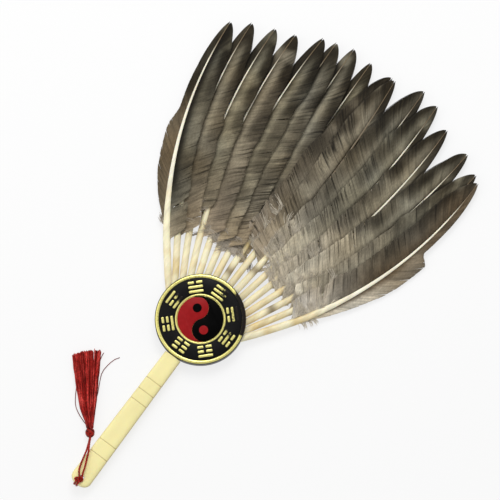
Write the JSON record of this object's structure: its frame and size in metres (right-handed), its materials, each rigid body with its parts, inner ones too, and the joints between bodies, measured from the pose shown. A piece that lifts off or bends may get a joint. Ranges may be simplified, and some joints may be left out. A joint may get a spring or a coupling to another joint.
{
  "type": "feather fan",
  "caption": "Rigid feather hand fan: goose wing feathers clamped in a round medallion hub, with a straight handle and a red tassel on a doubled cord.",
  "frame": {"origin": "middle of the hub's flat back face, on the plane that the fan rests on", "axes": "+Y from the handle towards the feathers, +X to the right seen from the front, +Z out of the decorated face"},
  "size_m": [0.2773, 0.4747, 0.0157],
  "materials": {
    "quill_horn": "pale horn, semi-gloss",
    "feather_vane": "taupe grey barbs with a soft sheen",
    "black_plastic": "black, satin",
    "gilt": "bright gilt, worn in places",
    "black_enamel": "black enamel, satin",
    "red_lacquer": "red lacquer, gloss",
    "black_lacquer": "black lacquer, gloss",
    "cream_bone": "cream imitation bone, semi-gloss",
    "red_silk": "red rayon thread with a satin sheen"
  },
  "bodies": {
    "fan": {"quill_left_1": "quill_horn", "vane_left_1": "feather_vane", "quill_left_2": "quill_horn", "vane_left_2": "feather_vane", "quill_left_3": "quill_horn", "vane_left_3": "feather_vane", "quill_left_4": "quill_horn", "vane_left_4": "feather_vane", "quill_left_5": "quill_horn", "vane_left_5": "feather_vane", "quill_left_6": "quill_horn", "vane_left_6": "feather_vane", "quill_left_7": "quill_horn", "vane_left_7": "feather_vane", "quill_left_8": "quill_horn", "vane_left_8": "feather_vane", "quill_right_1": "quill_horn", "vane_right_1": "feather_vane", "quill_right_2": "quill_horn", "vane_right_2": "feather_vane", "quill_right_3": "quill_horn", "vane_right_3": "feather_vane", "quill_right_4": "quill_horn", "vane_right_4": "feather_vane", "quill_right_5": "quill_horn", "vane_right_5": "feather_vane", "quill_right_6": "quill_horn", "vane_right_6": "feather_vane", "quill_right_7": "quill_horn", "vane_right_7": "feather_vane", "quill_right_8": "quill_horn", "vane_right_8": "feather_vane", "hub_back_shell": "black_plastic", "hub_front_shell": "black_plastic", "badge_relief": "gilt", "badge_black_field": "black_enamel", "taiji_red": "red_lacquer", "taiji_black": "black_lacquer", "taiji_black_dot": "black_lacquer", "taiji_red_dot": "red_lacquer", "handle": "cream_bone", "cord_hitch": "red_silk"},
    "cord": {"cord_strand_left": "red_silk", "cord_strand_right": "red_silk"},
    "tassel_knot": {"tassel_knot": "red_silk"},
    "tassel_skirt": {"tassel_skirt": "red_silk"}
  },
  "joints": [
    {"name": "cord_swing", "type": "hinge", "parent": "fan", "child": "cord", "pos_m": [0, -0.1777, 0.013], "axis": [0, 0, 1], "range_deg": [-4, 260]},
    {"name": "tassel_bend", "type": "hinge", "parent": "cord", "child": "tassel_knot", "pos_m": [-0.019, -0.1402, 0.0045], "axis": [0, 0, 1], "range_deg": [-25, 60]},
    {"name": "tassel_lift", "type": "hinge", "parent": "tassel_knot", "child": "tassel_skirt", "pos_m": [-0.019, -0.1402, 0.0045], "axis": [0.7837, 0.6211, 0], "range_deg": [0, 60]}
  ]
}
